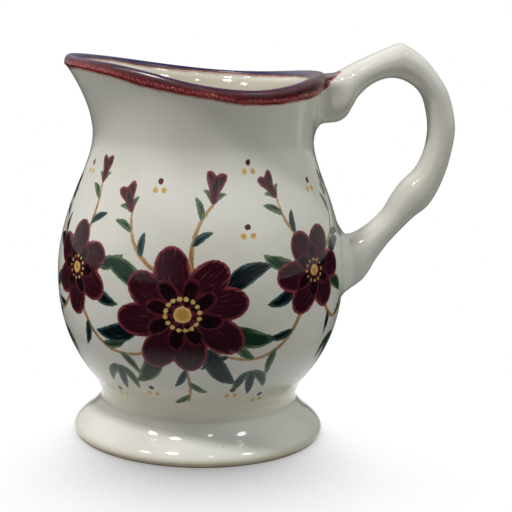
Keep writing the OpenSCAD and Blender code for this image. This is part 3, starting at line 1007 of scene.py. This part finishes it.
@lru_cache
def strap_values(position):
    """Outside edge, inside edge and width of the strap at a place along its list."""
    last = len(STRAP) - 1
    k = min(int(position), last - 1)
    t = position - k

    def blended(pick, corner):
        def slope(i):
            before, after = pick(max(i - 1, 0)), pick(min(i + 1, last))
            return (after - before)/(2 if 0 < i < last else 1)*(corner if i == PEAK else 1)
        return cubic(t, pick(k), pick(k + 1), slope(k), slope(k + 1))

    outside = blended(lambda i: Vector(STRAP[i][0]), PEAK_CORNER)
    inside = blended(lambda i: Vector(STRAP[i][1]), 1)
    return outside*MM, inside*MM, blended(lambda i: STRAP[i][2], 1)*MM


def squared(value, squareness):
    return math.copysign(abs(value)**(2/squareness), value)


def strap_ring(position, q):
    """Point of the strap's section at angle q, from its outside edge round its left side."""
    outside, inside, width = strap_values(position)
    middle = (outside + inside)/2
    out = squared(math.cos(q), STRAP_SQUARENESS)
    reach = (outside - inside)/2*out
    shoulder = np.interp(position, range(len(STRAP_SHOULDER)), STRAP_SHOULDER)*MM*max(0, out)**2
    side = -(width + shoulder)/2*squared(math.sin(q), STRAP_SQUARENESS)
    return Vector((middle.x + reach.x, side, middle.y + reach.y))


def strap_heading(position, step):
    """Way the strap's middle line runs, over one step from a place."""
    here, there = strap_values(position), strap_values(position + step)
    way = (there[0] + there[1] - here[0] - here[1])/2
    return Vector((way.x, 0, way.y)).normalized()


def fillet_point(t, q, position, foot, up):
    """Point on the fillet between one end of the strap and its footprint on the jug."""
    height, to_outside, to_inside, wide, softness = foot
    tall = to_outside if math.cos(q) > 0 else to_inside
    start = strap_ring(position, q)

    def print_at(scale):
        rise = up*tall*scale*squared(math.cos(q), PRINT_SQUARENESS)
        return on_outside(arc_at(height) + rise, -wide*scale*squared(math.sin(q), PRINT_SQUARENESS))

    end = print_at(1)
    spread = (print_at(PRINT_GROWTH) - end).normalized()
    run = (end - start).length*softness
    return cubic(t, start, end, -strap_heading(position, up*HEADING_STEP)*run, spread*run)


def sunk(place):
    """Place of a handle's end inside the clay: in from the wall, or down from the lip's top."""
    top = min(max((place.z - EDGE_TOP)/EDGE_TOP_FADE, 0), 1)
    inward = place.xy.normalized()*END_SINK*(1 - top)
    return place - Vector((inward.x, inward.y, END_SINK*top))


def shade_like_wall(mesh):
    """Turns the shading of the fillets' thin edges to that of the jug's wall under them."""
    x, y, z = np.array([vert.co for vert in mesh.vertices]).T
    facing = np.array([vert.normal for vert in mesh.vertices])
    wall_out, _, wall_up = pulled(np.stack((PATH_RADIUS, 0*PATH_RADIUS, PATH_HEIGHT), 1)).T
    radius = np.hypot(x, y)
    off = radius - np.interp(z, wall_up, wall_out)
    slope = np.interp(z, wall_up, np.gradient(wall_out, PATH_ARC))
    wall_facing = np.stack((x/radius, y/radius, -slope), 1)
    wall_facing /= np.linalg.norm(wall_facing, axis=1)[:, None]
    near = np.clip(1 - off/EDGE_BLEND, 0, 1)*np.clip((EDGE_TOP - z)/EDGE_TOP_FADE, 0, 1)
    near = (near**2*(3 - 2*near))[:, None]
    blended = facing*(1 - near) + wall_facing*near
    mesh.normals_split_custom_set_from_vertices(blended/np.linalg.norm(blended, axis=1)[:, None])


def make_handle():
    """Strap with a fillet to the jug at either end, its ends sunk in the clay."""
    sides, fillet_rows, strap_rows = 72, 16, 150
    rows = strap_rows + 2*fillet_rows
    last = len(STRAP) - 1
    bm = bmesh.new()
    bmesh.ops.create_grid(bm, x_segments=sides, y_segments=rows, size=1)
    for vert in bm.verts:
        q = math.tau*(round((vert.co.x + 1)/2*sides) % sides)/sides
        row = round((vert.co.y + 1)/2*rows)
        if row < fillet_rows:
            vert.co = fillet_point(1 - row/fillet_rows, q, 0, UPPER_FOOT, 1)
        elif row <= fillet_rows + strap_rows:
            vert.co = strap_ring(last*(row - fillet_rows)/strap_rows, q)
        else:
            t = (row - fillet_rows - strap_rows)/fillet_rows
            vert.co = fillet_point(t, q, last, LOWER_FOOT, -1)
    bmesh.ops.remove_doubles(bm, verts=bm.verts, dist=MERGE_GAP)
    ends = bmesh.ops.extrude_edge_only(bm, edges=[e for e in bm.edges if e.is_boundary])["geom"]
    for vert in ends:
        if isinstance(vert, bmesh.types.BMVert):
            vert.co = sunk(vert.co)
    bmesh.ops.holes_fill(bm, edges=[e for e in bm.edges if e.is_boundary], sides=0)
    handle = piece_from(bm, "handle_glazed", handle_finish())
    shade_like_wall(handle.data)
    x, _, z = np.array([vert.co for vert in handle.data.vertices]).T/MM
    over_edge = z - band_edge_height(azimuths(handle.data))/MM
    depth = np.minimum(over_edge, np.interp(z, *zip(*MAROON_REACH)) - x)
    set_vertex_vectors(handle.data, "maroon_depth", np.stack((depth, depth, depth), 1))
    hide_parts("handle", "upper_handle_joint", "lower_handle_joint")
    return handle


for piece in (make_body(), make_foot(), make_ring(), make_band(), make_handle()):
    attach(piece, "root")


# Stage: floor, lights and camera

def white_for_view(tree):
    """1 for rays that look at or mirror the background, 0 for the light it gives."""
    path = tree.nodes.new("ShaderNodeLightPath")
    seen = path.outputs["Is Camera Ray"]
    for name in ("Is Glossy Ray", "Is Transmission Ray"):
        both = tree.nodes.new("ShaderNodeMath")
        both.operation = "MAXIMUM"
        tree.links.new(seen, both.inputs[0])
        tree.links.new(path.outputs[name], both.inputs[1])
        seen = both.outputs[0]
    return seen


AMBIENT = 0.365
PLAIN_LIGHT = (1, 1, 1)
COOL_LIGHT = (0.88, 1.0, 0.93)
FLOOR_REACH = 3
FLOOR_BOUNCE = 0.38
# Shadow on the floor: how far it reaches, how dark it gets, and which way it leans
SKY_SAMPLES = 16
SHADOW_REACH = 0.08
SHADOW_DEPTH = 0.36
SHADOW_RANGE = (0.43, 0.80)
SHADOW_LEAN = (0.04, 0.98, 0.2)
# Dark cloths: sizes in metres, and where and how far they clear
DARK_GREY = (0.02, 0.02, 0.02, 1)
CURTAIN_COLUMNS = 32
CURTAIN_REACH = 1.1
CURTAIN_HEIGHT = 0.75
CURTAIN_TURN = math.radians(130)
CURTAIN_FADE = 0.3
CURTAIN_SIDE_FADE = (0.25, 0.95)
CLOTH_COLUMNS = 64
SCREEN_REACH = 1.2
SCREEN_CLEAR = 0.45
SCREEN_DEPTH_FADE = (-0.5, 0.8)
CEILING_HEIGHT = 1.4
CEILING_REACH = 1.3
CEILING_FADE = (0.7, CEILING_REACH)
CEILING_CLEAR = 0.3
CLOTH_HOLE = 0.036
CLOTH_SOFT = (0.038, 0.075)
CLOTH_REACH = 1.6
CLOTH_LIFT = 0.5*MM


def make_world():
    world = bpy.data.worlds.new("studio")
    scene.world = world
    world.use_nodes = True
    tree = world.node_tree
    ground = tree.nodes["Background"]
    level = tree.nodes.new("ShaderNodeMapRange")
    tree.links.new(white_for_view(tree), level.inputs[0])
    level.inputs["To Min"].default_value = AMBIENT
    level.inputs["To Max"].default_value = 1.0
    ground.inputs["Color"].default_value = (1, 1, 1, 1)
    tree.links.new(level.outputs[0], ground.inputs["Strength"])


def make_floor():
    """White floor that keeps the soft shadow under the jug and gives back a little light."""
    bm = bmesh.new()
    bmesh.ops.create_grid(bm, x_segments=2, y_segments=2, size=FLOOR_REACH)
    finish = Finish("floor_white")
    bounce = finish.node("ShaderNodeBsdfDiffuse")
    bounce.inputs["Color"].default_value = (FLOOR_BOUNCE, FLOOR_BOUNCE, FLOOR_BOUNCE, 1)
    open_sky = finish.node("ShaderNodeAmbientOcclusion", samples=SKY_SAMPLES)
    finish.fill(open_sky, Distance=SHADOW_REACH, Normal=finish.join(*SHADOW_LEAN))
    white = finish.node("ShaderNodeEmission")
    shadow = finish.span(open_sky.outputs["AO"], *SHADOW_RANGE, SHADOW_DEPTH, 1, smooth=False)
    finish.fill(white, Strength=shadow)
    finish.two_ways(white_for_view(finish.tree), bounce, white)
    piece_from(bm, "floor", finish.material)


def hang(bm, name, clear_share, dims=False):
    """Dark cloth that clears by place. It is only seen in reflections, and dims the jug if asked to."""
    finish = Finish(name)
    cloth = finish.node("ShaderNodeBsdfDiffuse")
    cloth.inputs["Color"].default_value = DARK_GREY
    finish.two_ways(clear_share(finish), cloth, finish.node("ShaderNodeBsdfTransparent"))
    backdrop = piece_from(bm, name, finish.material)
    backdrop.visible_camera = False
    backdrop.visible_shadow = False
    backdrop.visible_transmission = False
    backdrop.visible_diffuse = dims


def curtain_share(finish):
    side, _, height = finish.split()
    fade = finish.span(height, CURTAIN_FADE, CURTAIN_HEIGHT)
    side_fade = finish.span(finish.math("ABSOLUTE", side), *CURTAIN_SIDE_FADE)
    return finish.math("MAXIMUM", fade, side_fade)


def screen_share(finish):
    _, depth, height = finish.split()
    fade = finish.span(height, CURTAIN_FADE, CURTAIN_HEIGHT, SCREEN_CLEAR, 1)
    return finish.math("MAXIMUM", fade, finish.span(depth, *SCREEN_DEPTH_FADE, 0, SCREEN_CLEAR))


def axis_gap(finish):
    """Distance from the jug's axis."""
    flat = finish.node("ShaderNodeVectorMath", operation="MULTIPLY")
    gap = finish.node("ShaderNodeVectorMath", operation="LENGTH")
    finish.line_up(gap, finish.line_up(flat, finish.place, (1, 1, 0)))
    return gap.outputs["Value"]


def ceiling_share(finish):
    return finish.span(axis_gap(finish), *CEILING_FADE, CEILING_CLEAR, 1)


def cloth_share(finish):
    return finish.span(axis_gap(finish), *CLOTH_SOFT, 1, 0)


def make_dark_front():
    """Dark curtain behind the camera, and grey cloths round, over and under the jug, to reflect."""
    bm = bmesh.new()
    ends = [bm.verts.new((0, -CURTAIN_REACH, z)) for z in (0, CURTAIN_HEIGHT)]
    bmesh.ops.rotate(bm, verts=ends, cent=(0, 0, 0), matrix=Matrix.Rotation(-CURTAIN_TURN/2, 3, "Z"))
    bmesh.ops.spin(bm, geom=ends + [bm.edges.new(ends)], cent=(0, 0, 0), axis=(0, 0, 1),
                   angle=CURTAIN_TURN, steps=CURTAIN_COLUMNS)
    hang(bm, "dark_curtain", curtain_share, dims=True)
    for name, clear_share, *profile in (
            ("grey_screen", screen_share, (SCREEN_REACH, 0), (SCREEN_REACH, CURTAIN_HEIGHT)),
            ("grey_ceiling", ceiling_share, (0, CEILING_HEIGHT), (CEILING_REACH, CEILING_HEIGHT)),
            ("floor_cloth", cloth_share, (CLOTH_HOLE, CLOTH_LIFT), (CLOTH_REACH, CLOTH_LIFT))):
        hang(turned(profile, CLOTH_COLUMNS), name, clear_share)


def add_light(name, way, distance, size, level, colour, mirrored):
    """Soft box at a distance from the belly, lighting a white face turned to it to a level."""
    light = bpy.data.lights.new(name, "AREA")
    light.shape = "DISK"
    light.size = size
    light.color = colour
    light.energy = level*math.pi**2*distance**2
    lamp = bpy.data.objects.new(name, light)
    scene.collection.objects.link(lamp)
    way = Vector(way).normalized()
    lamp.location = Vector((0, 0, BELLY_HEIGHT)) + way*distance
    lamp.visible_glossy = mirrored
    lamp.rotation_euler = way.to_track_quat("Z", "Y").to_euler()


# Lamps: way from the belly, distance, size, level, colour, and whether the glaze mirrors them
LAMPS = {
    "key": ((-0.29, -0.252, 0.923), 0.9, 0.1, 0.6, PLAIN_LIGHT, True),
    "spot_left": ((-0.57, -0.176, 0.80), 0.8, 0.1, 0.07, PLAIN_LIGHT, True),
    "spot_right": ((0.53, -0.295, 0.797), 0.8, 0.1, 0.07, PLAIN_LIGHT, True),
    "spot_front": ((0.119, -0.467, 0.877), 0.8, 0.05, 0.02, PLAIN_LIGHT, True),
    "left_window": ((-0.95, 0.28, 0.12), 1.1, 0.8, 0.225, PLAIN_LIGHT, False),
    "right_window": ((0.96, -0.08, 0.24), 1.1, 0.8, 0.17, COOL_LIGHT, False),
}
for lamp_name, lamp_values in LAMPS.items():
    add_light(lamp_name, *lamp_values)
make_world()
make_floor()
make_dark_front()

# Camera: place and view of the photograph in the jug's frame
CAMERA_PLACE = Vector((-31.79, -378.95, 128.15))*MM
CAMERA_VIEW = Vector((0.1192, 0.9712, -0.2065)).normalized()
CAMERA_ROLL = math.radians(1.487)
FOCAL_PIXELS = 1454.3
FRAME_PIXELS = 512
SENSOR = 36

camera = bpy.data.cameras.new("camera")
camera.sensor_width = SENSOR
camera.lens = FOCAL_PIXELS/FRAME_PIXELS*SENSOR
camera.clip_start = 0.01
view = bpy.data.objects.new("camera", camera)
scene.collection.objects.link(view)
right = CAMERA_VIEW.cross(Vector((0, 0, 1))).normalized()
above = right.cross(CAMERA_VIEW)
axes = Matrix((right, above, -CAMERA_VIEW)).transposed()
view.matrix_world = Matrix.Translation(CAMERA_PLACE) @ axes.to_4x4() @ Matrix.Rotation(CAMERA_ROLL, 4, "Z")
scene.camera = view
scene.view_settings.view_transform = "Standard"
